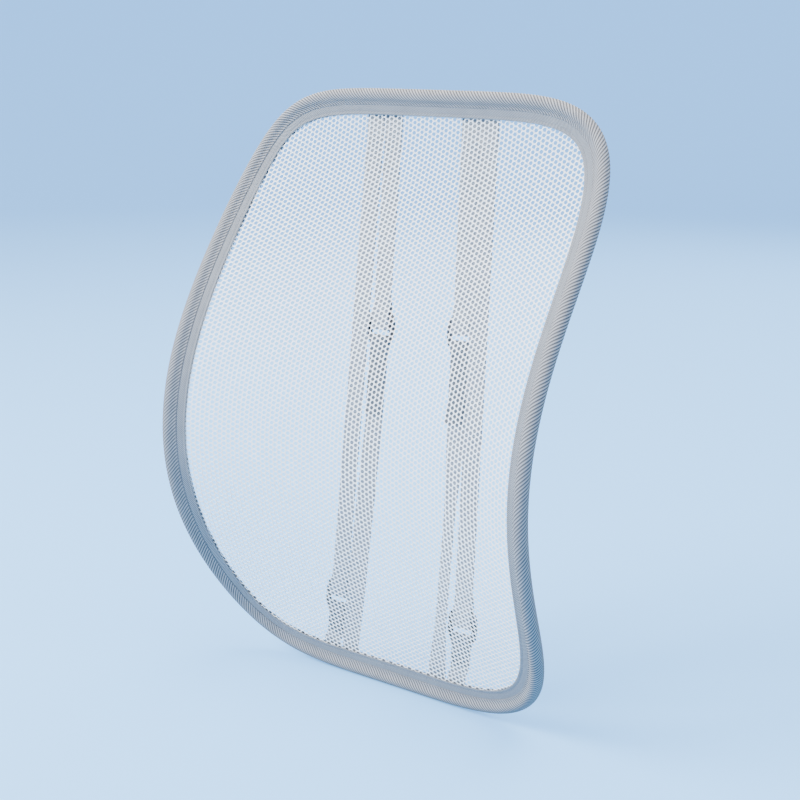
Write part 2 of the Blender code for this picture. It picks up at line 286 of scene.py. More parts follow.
def weave_relief_group() -> NodeGroup:
    """The group that sinks the furrows between the ribs of a woven surface."""
    group = geometry_group("Weave relief", ("Ribs per metre along", "Ribs per metre across", "Depth"))
    build = group.build
    cloth = build.node(
        "GeometryNodeInputNamedAttribute", {"Name": CLOTH_PLACE}, data_type="FLOAT_VECTOR"
    ).outputs[0]
    parts = build.node("ShaderNodeSeparateXYZ", {0: cloth}).outputs
    along = build.math("MULTIPLY", parts[0], group.given("Ribs per metre along"))
    across = build.math("MULTIPLY", parts[1], group.given("Ribs per metre across"))
    height = build.wave(build.math("ADD", along, across))
    share = build.math("MULTIPLY", group.given("Depth"), parts[2])
    sink = build.math("MULTIPLY", build.math("SUBTRACT", height, 1.0), share)
    normal = build.node("GeometryNodeInputNormal").outputs[0]
    offset = build.node("ShaderNodeVectorMath", {0: normal, 3: sink}, operation="SCALE").outputs[0]
    moved = build.node("GeometryNodeSetPosition", {"Geometry": group.given("Geometry"), "Offset": offset})
    close_geometry(group, moved.outputs[0])
    return group


def grown(source: bpy.types.Object, name: str, group: NodeGroup, values: Values) -> bpy.types.Object:
    """Run a Geometry Nodes group on a mesh and keep its result as a plain mesh.

    Args:
        source: the object that the group works on; it is removed.
        name: the name of the result.
        group: the Geometry Nodes group.
        values: a value for each named input.

    Returns:
        The new object, with no modifier.
    """
    modifier = source.modifiers.new(group.name, "NODES")
    modifier.node_group = group.tree
    for item in group.tree.interface.items_tree:
        if item.item_type == "SOCKET" and item.in_out == "INPUT" and item.name in values:
            modifier[item.identifier] = values[item.name]
    bpy.context.view_layer.update()
    evaluated = source.evaluated_get(bpy.context.evaluated_depsgraph_get())
    mesh = bpy.data.meshes.new_from_object(evaluated)
    source.modifiers.clear()
    bpy.data.objects.remove(source, do_unlink=True)
    mesh.name = name
    return linked(name, mesh)


def linked(name: str, mesh: bpy.types.Mesh) -> bpy.types.Object:
    """Put a mesh in the scene as an object at the origin."""
    made = bpy.data.objects.new(name, mesh)
    bpy.context.scene.collection.objects.link(made)
    return made


# ----------------------------------------------------------------------------- finishes


def yarn_group() -> NodeGroup:
    """The shared weave: slanting ribs of yarn crossed by finer ones, from a place on the cloth; its furrow
    mask darkens the colour, partly as the twill's own tone and partly as painted shade.
    """
    inputs = [
        ("Place", VECTOR),
        ("Ribs per metre along", FLOAT),
        ("Ribs per metre across", FLOAT),
        ("Yarns per metre along", FLOAT),
        ("Yarns per metre across", FLOAT),
    ]
    group = NodeGroup("ShaderNodeTree", "Yarn weave", inputs, [("Height", FLOAT), ("Furrow", FLOAT)])
    build = group.build
    parts = build.node("ShaderNodeSeparateXYZ", {0: group.given("Place")}).outputs
    heights = []
    for thread in ("Ribs", "Yarns"):
        along = build.math("MULTIPLY", parts[0], group.given(f"{thread} per metre along"))
        across = build.math("MULTIPLY", parts[1], group.given(f"{thread} per metre across"))
        heights.append(build.wave(build.math("ADD", along, across)))
    rib, yarn = heights
    # The furrows between ribs, which darken the cloth's colour: partly the twill's own tone, partly painted
    # shade.
    furrow = build.math("POWER", build.math("SUBTRACT", 1.0, rib), 0.8)
    mixed = build.math("MULTIPLY_ADD", yarn, 0.4, build.math("MULTIPLY", rib, 0.6))
    group.give("Height", mixed)
    group.give("Furrow", build.math("MULTIPLY", furrow, build.math("MULTIPLY_ADD", yarn, -0.35, 1.0)))
    return group


def fibre_group() -> NodeGroup:
    """The shared unevenness of a surface: a slow change of shade and a fine fuzz."""
    inputs = [("Place", VECTOR), ("Scale", FLOAT), ("Amount", FLOAT)]
    group = NodeGroup("ShaderNodeTree", "Fibre variation", inputs, [("Shade", FLOAT), ("Fuzz", FLOAT)])
    build = group.build
    slow = build.node(
        "ShaderNodeTexNoise", {"Vector": group.given("Place"), "Scale": group.given("Scale"), "Detail": 3.0}
    ).outputs[0]
    quick = build.math("MULTIPLY", group.given("Scale"), 30.0)
    fine = build.node("ShaderNodeTexNoise", {"Vector": group.given("Place"), "Scale": quick, "Detail": 2.0})
    centred = build.math("SUBTRACT", slow, 0.5)
    group.give("Shade", build.math("MULTIPLY_ADD", centred, group.given("Amount"), 1.0))
    group.give("Fuzz", fine.outputs[0])
    return group


YARN = yarn_group()
FIBRE = fibre_group()
Colour = tuple[float, float, float]


@dataclass(frozen=True)
class Weave:
    """How the ribs and the yarns of a cloth run, in counts per metre along and across it."""

    ribs_along: float
    ribs_across: float
    yarns_along: float
    yarns_across: float
    depth: float


class Finish:
    """What every finish shares: a material with its Principled shader, and the uneven shade."""

    name: str

    def start(self) -> tuple[bpy.types.Material, TreeBuilder, bpy.types.Node]:
        """Make the empty material.

        Returns:
            The material, its tree builder and its Principled shader.
        """
        made = bpy.data.materials.new(self.name)
        made.use_nodes = True
        build = TreeBuilder(made.node_tree)
        return made, build, made.node_tree.nodes["Principled BSDF"]

    def fibre(self, build: TreeBuilder, scale: float, amount: float) -> bpy.types.Node:
        """Place the shared unevenness in a material."""
        solid = build.node("ShaderNodeTexCoord").outputs["Object"]
        values = {"Place": solid, "Scale": scale, "Amount": amount}
        return build.node("ShaderNodeGroup", values, node_tree=FIBRE.tree)

    def shaded(self, build: TreeBuilder, colour: Any, shade: Any) -> bpy.types.NodeSocket:
        """A colour made lighter or darker by a factor."""
        return build.node("ShaderNodeVectorMath", {0: colour, 3: shade}, operation="SCALE").outputs[0]

    def bumped(self, build: TreeBuilder, strength: float, distance: float,
               height: Any) -> bpy.types.NodeSocket:
        """The normal that a height gives."""
        values = {"Strength": strength, "Distance": distance, "Height": height}
        return build.node("ShaderNodeBump", values).outputs[0]


@dataclass(frozen=True)
class ClothFinish(Finish):
    """Woven cloth: light yarn, darker furrows that are partly the twill's own tone and partly painted shade,
    a soft sheen, a little fuzz, and a reverse face darkened as painted shade.
    """

    name: str
    light: Colour
    furrow_tone_and_shade: Colour
    weave: Weave
    roughness: float = 0.8
    sheen: float = 0.25
    bump: float = 0.12 * MM
    uneven: float = 0.3
    # Painted shade: how bright the reverse face stays, on the inside of the casing's tube and on the back of
    # the webbing.
    painted_reverse_shade: float = 0.6

    def material(self) -> bpy.types.Material:
        """Make the cloth's material, which reads the cloth's own map.

        Returns:
            The material.
        """
        made, build, shader = self.start()
        weave = {
            "Place": build.node("ShaderNodeUVMap", uv_map=CLOTH_MAP).outputs[0],
            "Ribs per metre along": self.weave.ribs_along,
            "Ribs per metre across": self.weave.ribs_across,
            "Yarns per metre along": self.weave.yarns_along,
            "Yarns per metre across": self.weave.yarns_across,
        }
        yarn = build.node("ShaderNodeGroup", weave, node_tree=YARN.tree)
        fibre = self.fibre(build, 90.0, self.uneven)
        # Light yarn mixed towards the furrow colour: partly the twill's own tone, partly painted shade.
        mixed = build.node(
            "ShaderNodeMix",
            {"Factor": yarn.outputs["Furrow"], 6: (*self.light, 1.0), 7: (*self.furrow_tone_and_shade, 1.0)},
            data_type="RGBA",
        ).outputs[2]
        # Painted shade: where the share is 0, on the reverse face, the colour is scaled down by the reverse
        # factor.
        where = build.node("ShaderNodeAttribute", attribute_name=CLOTH_PLACE).outputs["Vector"]
        face = build.node("ShaderNodeSeparateXYZ", {0: where}).outputs[2]
        turned = build.math("MULTIPLY_ADD", face, 1.0 - self.painted_reverse_shade, self.painted_reverse_shade)
        shade = build.math("MULTIPLY", fibre.outputs["Shade"], turned)
        height = build.math("MULTIPLY_ADD", fibre.outputs["Fuzz"], 0.35, yarn.outputs["Height"])
        looks = {
            "Base Color": self.shaded(build, mixed, shade),
            "Normal": self.bumped(build, 0.8, self.bump, height),
            "Roughness": self.roughness,
            "Sheen Weight": self.sheen,
            "Sheen Roughness": 0.4,
            "Specular IOR Level": 0.3,
        }
        build.fill(shader, looks)
        return made


@dataclass(frozen=True)
class YarnFinish(Finish):
    """Bare yarn or thread, with a satin lustre and a slight change of shade."""

    name: str
    colour: Colour
    roughness: float
    sheen: float
    scale: float = 260.0
    uneven: float = 0.16

    def material(self) -> bpy.types.Material:
        """Make the yarn's material.

        Returns:
            The material.
        """
        made, build, shader = self.start()
        fibre = self.fibre(build, self.scale, self.uneven)
        looks = {
            "Base Color": self.shaded(build, self.colour, fibre.outputs["Shade"]),
            "Normal": self.bumped(build, 0.5, 0.05 * MM, fibre.outputs["Fuzz"]),
            "Roughness": self.roughness,
            "Sheen Weight": self.sheen,
        }
        build.fill(shader, looks)
        return made


@dataclass(frozen=True)
class PlasticFinish(Finish):
    """Moulded plastic with a fine grain and slightly worn gloss."""

    name: str
    colour: Colour
    roughness: float
    grain: float

    def material(self) -> bpy.types.Material:
        """Make the plastic's material.

        Returns:
            The material.
        """
        made, build, shader = self.start()
        fibre = self.fibre(build, 140.0, 0.5)
        looks = {
            "Base Color": self.shaded(build, self.colour, fibre.outputs["Shade"]),
            "Roughness": build.math("MULTIPLY", fibre.outputs["Shade"], self.roughness),
            "Normal": self.bumped(build, 0.35, self.grain, fibre.outputs["Fuzz"]),
            "Specular IOR Level": 0.5,
        }
        build.fill(shader, looks)
        return made


@dataclass(frozen=True)
class MetalFinish(Finish):
    """Drawn or crimped metal with a fine grain and small changes of gloss."""

    name: str
    colour: Colour
    roughness: float

    def material(self) -> bpy.types.Material:
        """Make the metal's material.

        Returns:
            The material.
        """
        made, build, shader = self.start()
        fibre = self.fibre(build, 120.0, 0.3)
        looks = {
            "Base Color": self.shaded(build, self.colour, fibre.outputs["Shade"]),
            "Roughness": build.math("MULTIPLY_ADD", fibre.outputs["Fuzz"], 0.2, self.roughness - 0.1),
            "Normal": self.bumped(build, 0.3, 0.03 * MM, fibre.outputs["Fuzz"]),
            "Metallic": 1.0,
        }
        build.fill(shader, looks)
        return made


@dataclass(frozen=True)
class StageFinish(Finish):
    """The plain floor and its sweep, evenly lit."""

    name: str
    colour: Colour
    glow: float

    def material(self) -> bpy.types.Material:
        """Make the stage's material.

        Returns:
            The material.
        """
        made, build, shader = self.start()
        looks = {
            "Base Color": (*self.colour, 1.0),
            "Roughness": 1.0,
            "Specular IOR Level": 0.0,
            "Emission Color": (*self.colour, 1.0),
            "Emission Strength": self.glow,
        }
        build.fill(shader, looks)
        return made


CASING_WEAVE = Weave(400.0, -380.0, 1300.0, 1250.0, 0.24 * MM)
TAPE_WEAVE = Weave(760.0, 640.0, 1500.0, -1300.0, 0.0)
WEBBING_WEAVE = Weave(620.0, 0.0, 0.0, 1500.0, 0.09 * MM)

# The second colour of each cloth is its furrow colour: partly the twill's own tone, partly painted shade.
CASING_FINISH = ClothFinish(
    "casing_twill", (0.30, 0.30, 0.305), (0.001, 0.001, 0.002), CASING_WEAVE, 0.85, 0.0, 0.4 * MM
)
TAPE_FINISH = ClothFinish(
    "hem_tape_cloth", (0.27, 0.285, 0.30), (0.012, 0.014, 0.018), TAPE_WEAVE, 0.85, 0.05, 0.3 * MM
)
# The webbing's back face is painted half as bright: painted shade.
WEBBING_FINISH = ClothFinish(
    "webbing_cloth", (0.23, 0.26, 0.29), (0.12, 0.14, 0.16), WEBBING_WEAVE, painted_reverse_shade=0.5
)
NET_FINISH = YarnFinish("net_yarn", (0.97, 0.97, 0.96), 0.5, 0.4)
THREAD_FINISH = YarnFinish("sewing_thread", (0.10, 0.11, 0.125), 0.6, 0.2)
SLIDER_FINISH = PlasticFinish("slider_black", (0.022, 0.022, 0.024), 0.42, 0.02 * MM)
WIRE_FINISH = MetalFinish("drawn_spring_steel", (0.46, 0.47, 0.48), 0.35)
SLEEVE_FINISH = MetalFinish("crimped_aluminium", (0.72, 0.73, 0.74), 0.42)
STAGE_FINISH = StageFinish("pale_blue_floor", (0.13, 0.31, 0.55), 1.6)


# ----------------------------------------------------------------------------- shape of the support


def squared(share: np.ndarray, squareness: Any) -> np.ndarray:
    """A sine or cosine pushed outwards, which turns a circle into a rounded oblong."""
    return np.sign(share) * np.abs(share) ** (2 / squareness)


def running_length(points: np.ndarray) -> np.ndarray:
    """The length along a line of points, at each point."""
    return np.concatenate([[0], np.cumsum(np.linalg.norm(np.diff(points, axis=0), axis=1))])


@dataclass(frozen=True)
class Saddle:
    """The sprung surface that the loop and the net share: a lumbar bulge with wings."""

    half_width: float = 153 * MM
    height: float = 400 * MM
    widest_level: float = 209 * MM
    top_squareness: float = 5.4
    bottom_squareness: float = 4.3
    top_set_back: float = 41 * MM
    lumbar_bulge: float = 52 * MM
    apex_drop: float = 26 * MM
    shoulder_rounding: float = 50 * MM
    wing_forward: float = 30 * MM
    wing_fade: float = 0.87
    ground: float = 4.6 * MM

    def depth(self, x: np.ndarray, z: np.ndarray) -> np.ndarray:
        """How far back the surface lies at places across and up, before the origin is moved."""
        level = 2 * z / self.height - 1
        profile = self.top_set_back / 2 * level - self.lumbar_bulge * (1 - level**2)
        profile = profile - self.apex_drop * (level**3 - level)
        profile = profile - self.shoulder_rounding * (level**4 - level**2)
        return profile - self.wing_forward * (1 - self.wing_fade * level**2) * (x / self.half_width) ** 2

    def slopes(self, x: np.ndarray, z: np.ndarray) -> tuple[np.ndarray, np.ndarray]:
        """The surface's slope across and up."""
        step = 0.01 * MM
        across = (self.depth(x + step, z) - self.depth(x - step, z)) / (2 * step)
        up = (self.depth(x, z + step) - self.depth(x, z - step)) / (2 * step)
        return across, up

    def normal(self, x: np.ndarray, z: np.ndarray) -> np.ndarray:
        """Unit normals on the sitter's side, one row for each place."""
        across, up = self.slopes(x, z)
        raw = np.stack([across, -np.ones_like(across), up], axis=-1)
        return raw / np.linalg.norm(raw, axis=-1, keepdims=True)

    def outline(self, turn: np.ndarray) -> tuple[np.ndarray, np.ndarray]:
        """The loop's flat outline; a turn of 0 is the middle of the lower rail."""
        across, up = np.sin(turn), -np.cos(turn)
        squareness = np.where(up > 0, self.top_squareness, self.bottom_squareness)
        reach = np.where(up > 0, self.height - self.widest_level, self.widest_level)
        x = squared(across, squareness) * self.half_width
        return x, self.widest_level + squared(up, squareness) * reach

    def shift(self) -> np.ndarray:
        """The move that puts the origin below the middle of the box."""
        depths = self.depth(*self.outline(np.linspace(0, TURN, 721)))
        return np.array([0.0, -(depths.min() + depths.max()) / 2, self.ground])

    def place(self, x: np.ndarray, z: np.ndarray, lift: Any = 0.0) -> np.ndarray:
        """Points of the surface raised along its front normal.

        Args:
            x: places across.
            z: places up.
            lift: how far each is raised.

        Returns:
            One row for each point.
        """
        x, z = np.asarray(x, float), np.asarray(z, float)
        points = np.stack([x, self.depth(x, z), z], axis=-1)
        return points + np.asarray(lift)[..., None] * self.normal(x, z) + self.shift()

    def inset(self, turn: np.ndarray, inset: Any) -> tuple[np.ndarray, np.ndarray]:
        """The outline moved inwards by a distance measured along the surface."""
        x, z = self.outline(turn)
        before, after = self.outline(turn - 0.002), self.outline(turn + 0.002)
        along = np.stack([after[0] - before[0], after[1] - before[1]])
        along = along / np.linalg.norm(along, axis=0)
        across, up = self.slopes(x, z)
        step = inset / np.hypot(1, across * -along[1] + up * along[0])
        return x - step * along[1], z + step * along[0]

    def turns(self, count: int, inset: float = 0.0) -> tuple[np.ndarray, float]:
        """Turns that step round the loop in equal lengths.

        Args:
            count: how many steps there are.
            inset: how far inside the wire the lengths are measured.

        Returns:
            The turns, and the length all round.
        """
        share = np.linspace(0, 1, 2001)[:-1]
        eased = share**3 * (share * (6 * share - 15) + 10)
        fine = np.append((np.arange(4)[:, None] + eased).ravel() * TURN / 4, TURN)
        points = self.place(*self.inset(fine, inset))
        lengths = running_length(points)
        return np.interp(np.arange(count) * lengths[-1] / count, lengths, fine), float(lengths[-1])

    def rim(self, turn: np.ndarray) -> tuple[np.ndarray, np.ndarray, np.ndarray]:
        """The wire's centre, the inward direction and the front normal at each turn."""
        x, z = self.outline(turn)
        centre, normal = self.place(x, z), self.normal(x, z)
        inward = self.place(*self.inset(turn, 1 * MM)) - centre
        inward = inward - np.sum(inward * normal, axis=1, keepdims=True) * normal
        return centre, inward / np.linalg.norm(inward, axis=1, keepdims=True), normal

    def rail_level(self, x: float, top: bool) -> float:
        """The height of the upper or the lower rail at a place across."""
        squareness = self.top_squareness if top else self.bottom_squareness
        reach = self.height - self.widest_level if top else -self.widest_level
        share = (1 - (abs(x) / self.half_width) ** squareness) ** (1 / squareness)
        return self.widest_level + reach * share


SADDLE = Saddle()


def grid_mesh(name: str, points: np.ndarray, along: np.ndarray, across: np.ndarray, share: np.ndarray,
              ring: bool) -> bpy.types.Object:
    """A tube of quads with a cloth map in metres, closed round its section.

    Args:
        name: the object's name.
        points: stations by section points by 3.
        along: the length at each station, and one more where the tube is a ring.
        across: the length round the section at each section point, and one more.
        share: how much of the weave's relief each section point takes; where it is 0, the cloth's colour is
            also darkened as painted shade.
        ring: whether the last station joins the first; if not, both ends are capped.

    Returns:
        The object.
    """
    stations, section = points.shape[:2]
    spans = stations if ring else stations - 1
    first, second = np.meshgrid(np.arange(spans), np.arange(section), indexing="ij")
    first, second = first.ravel(), second.ravel()
    following, beside = (first + 1) % stations, (second + 1) % section
    quads = np.stack(
        [
            first * section + second,
            first * section + beside,
            following * section + beside,
            following * section + second,
        ],
        axis=1,
    )
    faces = quads.tolist()
    if not ring:
        faces.append(list(range(section))[::-1])
        faces.append([(stations - 1) * section + index for index in range(section)])
    mesh = bpy.data.meshes.new(name)
    mesh.from_pydata(points.reshape(-1, 3).tolist(), [], faces)
    corners = np.stack(
        [
            np.stack([along[first], across[second]], axis=1),
            np.stack([along[first], across[second + 1]], axis=1),
            np.stack([along[first + 1], across[second + 1]], axis=1),
            np.stack([along[first + 1], across[second]], axis=1),
        ],
        axis=1,
    ).reshape(-1, 2)
    layer = mesh.uv_layers.new(name=CLOTH_MAP)
    flat = np.zeros(len(mesh.loops) * 2)
    flat[: corners.size] = corners.ravel()
    layer.data.foreach_set("uv", flat)
    place = np.zeros((stations, section, 3))
    place[..., 0] = along[:stations, None]
    place[..., 1] = across[None, :section]
    place[..., 2] = share[None, :]
    mesh.attributes.new(CLOTH_PLACE, "FLOAT_VECTOR", "POINT").data.foreach_set("vector", place.ravel())
    tidy_normals(mesh)
    return linked(name, mesh)


def tidy_normals(mesh: bpy.types.Mesh) -> None:
    """Turn a closed mesh's faces outwards and shade it smooth."""
    work = bmesh.new()
    work.from_mesh(mesh)
    bmesh.ops.recalc_face_normals(work, faces=work.faces)
    if work.calc_volume(signed=True) < 0:
        bmesh.ops.reverse_faces(work, faces=work.faces)
    work.to_mesh(mesh)
    work.free()
    mesh.shade_smooth()


def section_lengths(section: np.ndarray) -> np.ndarray:
    """The running length round a closed section, with the whole length last."""
    return running_length(np.concatenate([section, section[:1]]))


def line_mesh(name: str, lines: Sequence[np.ndarray], closed: bool) -> bpy.types.Object:
    """Lines that stitches are laid along, as a mesh of edges.

    Args:
        name: the object's name.
        lines: the points of each line.
        closed: whether each line joins its start.

    Returns:
        The object.
    """
    vertices: list[list[float]] = []
    edges: list[tuple[int, int]] = []
    for line in lines:
        start = len(vertices)
        vertices += np.asarray(line).tolist()
        edges += [(start + index, start + index + 1) for index in range(len(line) - 1)]
        if closed:
            edges.append((len(vertices) - 1, start))
    mesh = bpy.data.meshes.new(name)
    mesh.from_pydata(vertices, edges, [])
    return linked(name, mesh)


NET_CELLS = net_cell_group()
STITCHES = stitch_group()
RELIEF = weave_relief_group()


def ribbed(source: bpy.types.Object, name: str, weave: Weave,
           material: bpy.types.Material) -> bpy.types.Object:
    """Sink the furrows of a weave into a plain cloth surface.

    Args:
        source: the plain surface; it is removed.
        name: the name of the result.
        weave: the cloth's weave.
        material: the cloth's material.

    Returns:
        The ribbed piece.
    """
    values = {
        "Ribs per metre along": weave.ribs_along,
        "Ribs per metre across": weave.ribs_across,
        "Depth": weave.depth,
        "Material": material,
    }
    return grown(source, name, RELIEF, values)


@dataclass
class Sewing:
    """A row of sewing thread, in stitches of one length."""

    pitch: float = 2.7 * MM
    stitch: float = 2.3 * MM
    radius: float = 0.2 * MM

    def row(self, name: str, lines: Sequence[np.ndarray], closed: bool = False) -> bpy.types.Object:
        """Sew along lines.

        Args:
            name: the piece's name.
            lines: the points of each line.
            closed: whether each line joins its start.

        Returns:
            The stitches as one mesh.
        """
        values = {
            "Pitch": self.pitch,
            "Stitch length": self.stitch,
            "Thread radius": self.radius,
            "Material": THREAD,
        }
        return grown(line_mesh(f"{name}_lines", lines, closed), name, STITCHES, values)


THREAD = THREAD_FINISH.material()


# ----------------------------------------------------------------------------- the panel's pieces


@dataclass
class NetPanel:
    """The knitted net, cut flat and stretched over the saddle."""

    column_spacing: float = 3.38 * MM
    row_pitch: float = 3.44 * MM
    slant: float = 0.09
    hole_share: float = 0.72
    half_thickness: float = 0.36 * MM
    edge_inset: float = 11.6 * MM

    def profile(self) -> tuple[np.ndarray, np.ndarray]:
        """The length up the middle of the panel, and the height where each is reached."""
        heights = np.linspace(0, SADDLE.height, 2001)
        points = SADDLE.place(np.zeros_like(heights), heights)
        lengths = running_length(points)
        return lengths, heights

    def centres(self) -> np.ndarray:
        """The middle of every hole on the flat cloth, across and along.

        Returns:
            One row for each hole that lies inside the hem.
        """
        lengths, heights = self.profile()
        columns = int(SADDLE.half_width / self.column_spacing)
        rows = int(lengths[-1] / self.row_pitch) + 12
        column, row = np.meshgrid(np.arange(-columns, columns + 1), np.arange(-12, rows), indexing="ij")
        across = column * self.column_spacing
        along = (row + 0.5 * (column % 2)) * self.row_pitch + self.slant * across
        across, along = across.ravel(), along.ravel()
        level = np.interp(along, lengths, heights, left=-1.0, right=2.0)
        edge = np.stack(SADDLE.inset(np.linspace(0, TURN, 720, endpoint=False), self.edge_inset))
        keep = inside(across, level, edge)
        return np.stack([across[keep], along[keep]], axis=1)

    def build(self) -> bpy.types.Object:
        """Knit the net, close its edge and stretch it over the saddle.

        Returns:
            The net.
        """
        cut = self.centres()
        mesh = bpy.data.meshes.new("net_cut")
        mesh.from_pydata([(x, y, 0.0) for x, y in cut.tolist()], [], [])
        values = {
            "Column spacing": self.column_spacing,
            "Row pitch": self.row_pitch,
            "Hole share": self.hole_share,
            "Half thickness": self.half_thickness,
            "Material": NET_FINISH.material(),
        }
        net = grown(linked("net_cut", mesh), "net", NET_CELLS, values)
        close_edge(net.data)
        lengths, heights = self.profile()
        flat = np.zeros(len(net.data.vertices) * 3)
        net.data.vertices.foreach_get("co", flat)
        flat = flat.reshape(-1, 3)
        level = np.interp(flat[:, 1], lengths, heights)
        placed = SADDLE.place(flat[:, 0], level, flat[:, 2])
        net.data.vertices.foreach_set("co", placed.ravel())
        tidy_normals(net.data)
        return net


def inside(x: np.ndarray, y: np.ndarray, edge: np.ndarray) -> np.ndarray:
    """Which points lie inside a closed outline.

    Args:
        x: the points' first coordinates.
        y: their second coordinates.
        edge: the outline, as two rows.

    Returns:
        True for each point inside.
    """
    crossings = np.zeros(len(x), int)
    for index in range(edge.shape[1]):
        x0, y0 = edge[:, index - 1]
        x1, y1 = edge[:, index]
        spans = (y0 > y) != (y1 > y)
        reach = x0 + (y - y0) / (y1 - y0 if y1 != y0 else 1.0) * (x1 - x0)
        crossings += spans & (x < reach)
    return crossings % 2 == 1


def close_edge(mesh: bpy.types.Mesh) -> None:
    """Join the front and the back of a flat net along its cut edge."""
    work = bmesh.new()
    work.from_mesh(mesh)
    open_edges = [edge for edge in work.edges if len(edge.link_faces) == 1]

    def spot(vertex: bmesh.types.BMVert) -> tuple[int, int]:
        """Where a vertex is on the flat cloth, to a hundredth of a millimetre."""
        return round(vertex.co.x * 1e5), round(vertex.co.y * 1e5)

    behind = {spot(v): v for edge in open_edges for v in edge.verts if v.co.z < 0}
    for edge in open_edges:
        first, second = edge.verts
        if first.co.z > 0 and spot(first) in behind and spot(second) in behind:
            work.faces.new([first, second, behind[spot(second)], behind[spot(first)]])
    work.to_mesh(mesh)
    work.free()


@dataclass
class HemTape:
    """A woven tape sewn flat along the net's edge, with a furrow where its seam runs."""

    side: Side
    start: float = 4.0 * MM
    edge: float = 13.4 * MM
    thickness: float = 0.6 * MM
    lift: float = 1.0 * MM
    seam: float = 11.0 * MM
    seam_depth: float = 0.32 * MM
    seam_half_width: float = 0.55 * MM
    pucker: float = 0.16 * MM
    pucker_reach: float = 2.6 * MM
    long_waves: int = 131
    short_waves: int = 211
    stations: int = 1200

    def section(self) -> np.ndarray:
        """The tape's section: inset and lift of its outer face, then of its inner face."""
        low, high = self.lift - self.thickness / 2, self.lift + self.thickness / 2
        insets = np.linspace(self.start, self.edge - 0.25 * MM, 17)
        seam = np.exp(-(((insets - self.seam) / self.seam_half_width) ** 2))
        crown = high - self.seam_depth * seam
        outer = np.stack([insets, crown], axis=1)
        rounded = np.array([[self.edge, high - 0.18 * MM], [self.edge, low + 0.12 * MM]])
        inner = np.stack([np.linspace(self.edge - 0.2 * MM, self.start, 5), np.full(5, low)], axis=1)
        return np.concatenate([outer, rounded, inner])

    def build(self) -> bpy.types.Object:
        """Make the tape.

        Returns:
            The tape, with its cloth map.
        """
        turns, length = SADDLE.turns(self.stations, self.edge / 2)
        section = self.section()
        along = np.arange(self.stations + 1) * length / self.stations
        turn = along[:-1] * TURN / length
        waves = np.sin(turn * self.long_waves) + 0.6 * np.sin(turn * self.short_waves + 1.0)
        rings = []
        for inset, lift in section:
            near = math.exp(-(((inset - self.seam) / self.pucker_reach) ** 2))
            sunk = self.pucker * near * (waves - 1.6) / 3.2 if lift > self.lift else 0.0
            x, z = SADDLE.inset(turns, inset)
            rings.append(SADDLE.place(x, z, self.side.value * (lift + sunk + np.zeros(self.stations))))
        points = np.stack(rings, axis=1)
        name = f"hem_{self.side.name.lower()}"
        tape = grid_mesh(name, points, along, section_lengths(section), np.ones(len(section)), True)
        tape.data.materials.append(TAPE)
        return tape

    def seam_line(self) -> np.ndarray:
        """The line that the hem's stitches follow."""
        turns, _ = SADDLE.turns(600, self.seam)
        lift = self.lift + self.thickness / 2 - self.seam_depth + 0.05 * MM
        return SADDLE.place(*SADDLE.inset(turns, self.seam), np.full(600, self.side.value * lift))


@dataclass
class RimCasing:
    """The twill tube round the wire, whose lips are sewn down on the hem."""

    radius: float = 4.6 * MM
    wall: float = 0.7 * MM
    lip_inset: float = 6.6 * MM
    lip_lift: float = 1.78 * MM
    lip_thickness: float = 0.4 * MM
    lip_turn: float = 40.0
    stations: int = 2600
    round_points: int = 20
    lip_points: int = 4

    def face(self, radius: float, lip_lift: float, count: int) -> np.ndarray:
        """One face of the section, from the front lip round the wire to the back lip."""
        angles = np.radians(np.linspace(self.lip_turn, 360 - self.lip_turn, count))
        arc = np.stack([radius * np.cos(angles), radius * np.sin(angles)], axis=1)
        start = np.array([self.lip_inset, lip_lift])
        knee = np.array([radius + 0.3 * MM, lip_lift + 0.15 * MM])
        steps = np.linspace(0, 1, self.lip_points + 1)[:-1, None]
        lip = (1 - steps) ** 2 * start + 2 * steps * (1 - steps) * knee + steps**2 * arc[0]
        return np.concatenate([lip, arc, lip[::-1] * [1, -1]])

    def build(self) -> bpy.types.Object:
        """Make the casing, with the ribs of its twill raised.

        Returns:
            The casing.
        """
        outer = self.face(self.radius, self.lip_lift, self.round_points)
        inner = self.face(self.radius - self.wall, self.lip_lift - self.lip_thickness, self.round_points // 2)
        section = np.concatenate([outer, inner[::-1]])
        turns, length = SADDLE.turns(self.stations)
        centre, inward, normal = SADDLE.rim(turns)
        points = (
            centre[:, None, :]
            + section[None, :, 0, None] * inward[:, None, :]
            + section[None, :, 1, None] * normal[:, None, :]
        )
        ribs = round(CASING_WEAVE.ribs_along * length) / length
        along = np.arange(self.stations + 1) * length / self.stations * ribs / CASING_WEAVE.ribs_along
        # Share 0 on the inside of the tube: no relief there, and its colour darkened as painted shade.
        share = np.concatenate([np.ones(len(outer)), np.zeros(len(inner))])
        tube = grid_mesh("casing_plain", points, along, section_lengths(section), share, True)
        return ribbed(tube, "casing", CASING_WEAVE, CASING_FINISH.material())

    def lip_line(self, side: Side) -> np.ndarray:
        """The line that the stitches of a lip follow."""
        turns, _ = SADDLE.turns(600, self.lip_inset)
        centre, inward, normal = SADDLE.rim(turns)
        lift = side.value * (self.lip_lift + 0.02 * MM)
        return centre + (self.lip_inset - 0.5 * MM) * inward + lift * normal


# ----------------------------------------------------------------------------- straps


